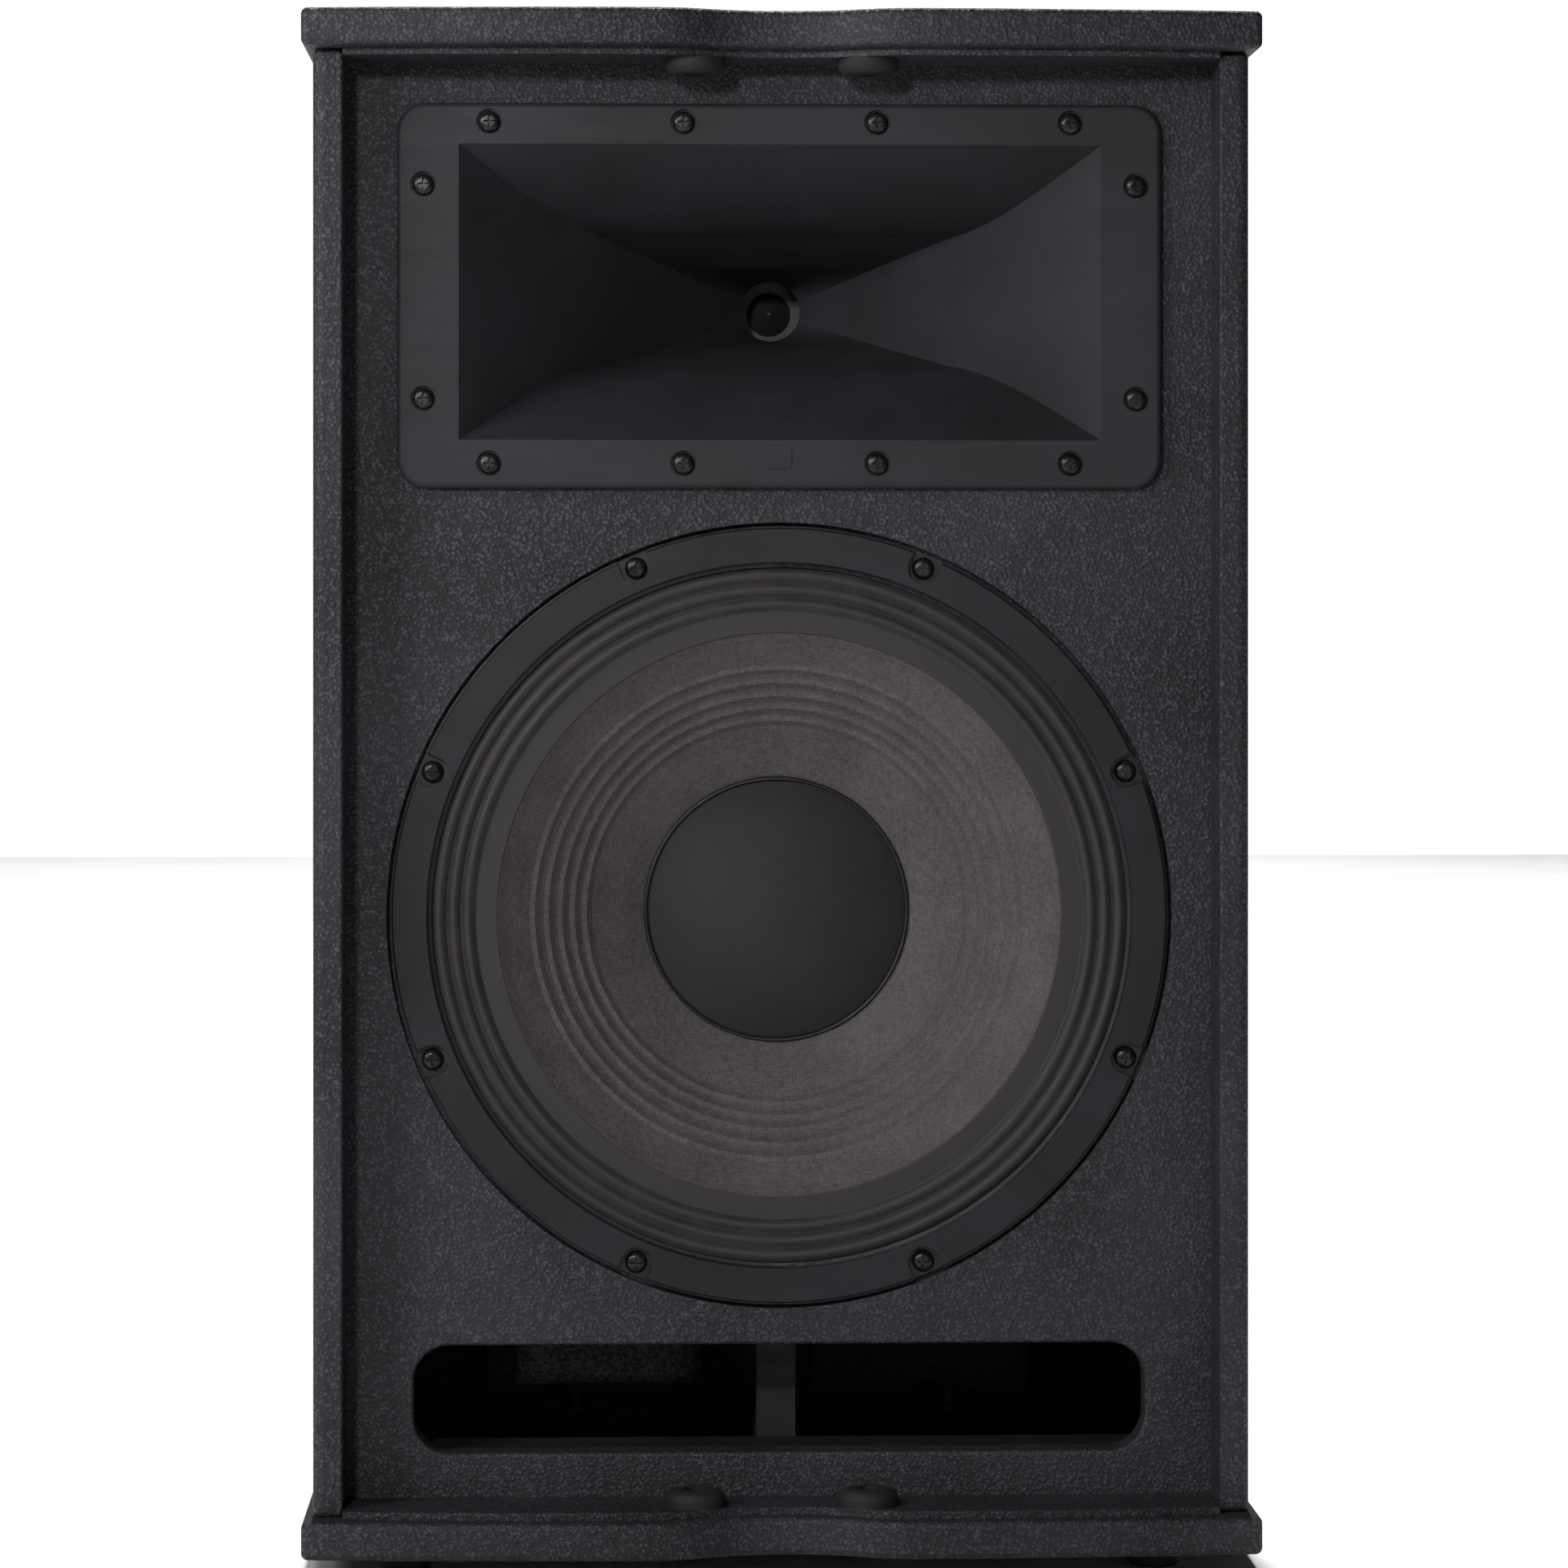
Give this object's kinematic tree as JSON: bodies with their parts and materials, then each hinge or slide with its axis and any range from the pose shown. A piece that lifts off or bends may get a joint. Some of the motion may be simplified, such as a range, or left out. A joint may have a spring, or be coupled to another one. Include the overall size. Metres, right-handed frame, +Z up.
{
  "type": "loudspeaker cabinet",
  "caption": "Two-way loudspeaker cabinet with rectangular horn, large cone woofer, slot port, recessed carry handles and pole socket.",
  "frame": {"origin": "on the floor below the middle of the cabinet's overall box", "axes": "+Z up, front (horn and woofer) faces -Y, +X to the right as seen from the front's viewer"},
  "size_m": [0.381, 0.3599, 0.622],
  "materials": {
    "basket_steel": "black painted pressed steel",
    "black_plastic": "fine-grained black moulding",
    "cap_paper": "matt doped paper",
    "capacitor_film": "yellow film wrap",
    "cement": "white cement body",
    "circuit_board": "green solder mask",
    "cone_paper": "pressed fibrous paper",
    "contact_metal": "plated copper alloy",
    "copper_coil": "enamelled copper wire",
    "damping_foam": "open-cell charcoal foam",
    "gasket_foam": "closed-cell foam strip",
    "horn_plastic": "smooth satin black moulding",
    "magnet_ferrite": "bare ferrite",
    "motor_steel": "black passivated steel",
    "phenolic": "brown phenolic",
    "plate_steel": "black powder-coated steel",
    "port_board": "black painted plywood",
    "raw_plywood": "bare plywood, sealed",
    "rubber_black": "matte black rubber",
    "screw_black": "black oxide steel, worn bright on the crowns",
    "socket_plastic": "satin black glass-filled nylon",
    "spider_cloth": "resin-treated woven cotton",
    "surround_cloth": "doped pleated cloth",
    "textured_coat": "black textured polyurea coat on plywood",
    "titanium": "thin formed titanium",
    "zinc_steel": "zinc-plated steel"
  },
  "bodies": {
    "cabinet": {"back_panel": "textured_coat", "baffle": "textured_coat", "bottom_lid": "textured_coat", "bumper_screws": "screw_black", "crossover_board": "circuit_board", "crossover_capacitors": "capacitor_film", "crossover_coils": "copper_coil", "crossover_resistors": "cement", "crossover_standoffs": "contact_metal", "diaphragm_ring": "black_plastic", "driver_bolts": "zinc_steel", "driver_magnet": "magnet_ferrite", "driver_pole_plate": "motor_steel", "driver_rear_cover": "black_plastic", "driver_suspension": "titanium", "driver_terminals": "contact_metal", "driver_top_plate": "motor_steel", "foot_screws": "zinc_steel", "grille_bumpers": "rubber_black", "horn": "horn_plastic", "horn_gasket": "gasket_foam", "horn_screws": "screw_black", "input_plate": "plate_steel", "input_plate_screws": "screw_black", "left_handle": "black_plastic", "left_handle_screws": "screw_black", "left_side_panel": "textured_coat", "lower_foam": "damping_foam", "phase_plug": "black_plastic", "pole_cup": "black_plastic", "pole_cup_screws": "screw_black", "port_brace": "port_board", "port_shelf": "port_board", "port_strip": "port_board", "rigging_inserts": "zinc_steel", "right_handle": "black_plastic", "right_handle_screws": "screw_black", "right_side_panel": "textured_coat", "rubber_feet": "rubber_black", "socket_contacts": "contact_metal", "socket_screws": "screw_black", "speaker_sockets": "socket_plastic", "top_lid": "textured_coat", "upper_foam": "damping_foam", "window_brace": "raw_plywood", "woofer_back_plate": "motor_steel", "woofer_basket": "basket_steel", "woofer_gasket": "black_plastic", "woofer_magnet": "magnet_ferrite", "woofer_screws": "screw_black", "woofer_spider": "spider_cloth", "woofer_surround": "surround_cloth", "woofer_terminal_strip": "phenolic", "woofer_terminals": "contact_metal", "woofer_top_plate": "motor_steel"},
    "woofer_cone_assembly": {"woofer_cone": "cone_paper", "dust_cap": "cap_paper", "voice_coil": "copper_coil"},
    "driver_diaphragm_assembly": {"driver_diaphragm": "titanium", "driver_voice_coil": "copper_coil"}
  },
  "joints": [
    {"name": "woofer_excursion", "type": "slide", "parent": "cabinet", "child": "woofer_cone_assembly", "axis": [0, -1, 0], "range_m": [-0.006, 0.006], "stiffness_N_per_m": 5500, "deforming": ["woofer_surround", "woofer_spider"]},
    {"name": "driver_excursion", "type": "slide", "parent": "cabinet", "child": "driver_diaphragm_assembly", "axis": [0, -1, 0], "range_m": [-0.0003, 0.0003], "stiffness_N_per_m": 9000, "deforming": ["driver_suspension"]}
  ]
}
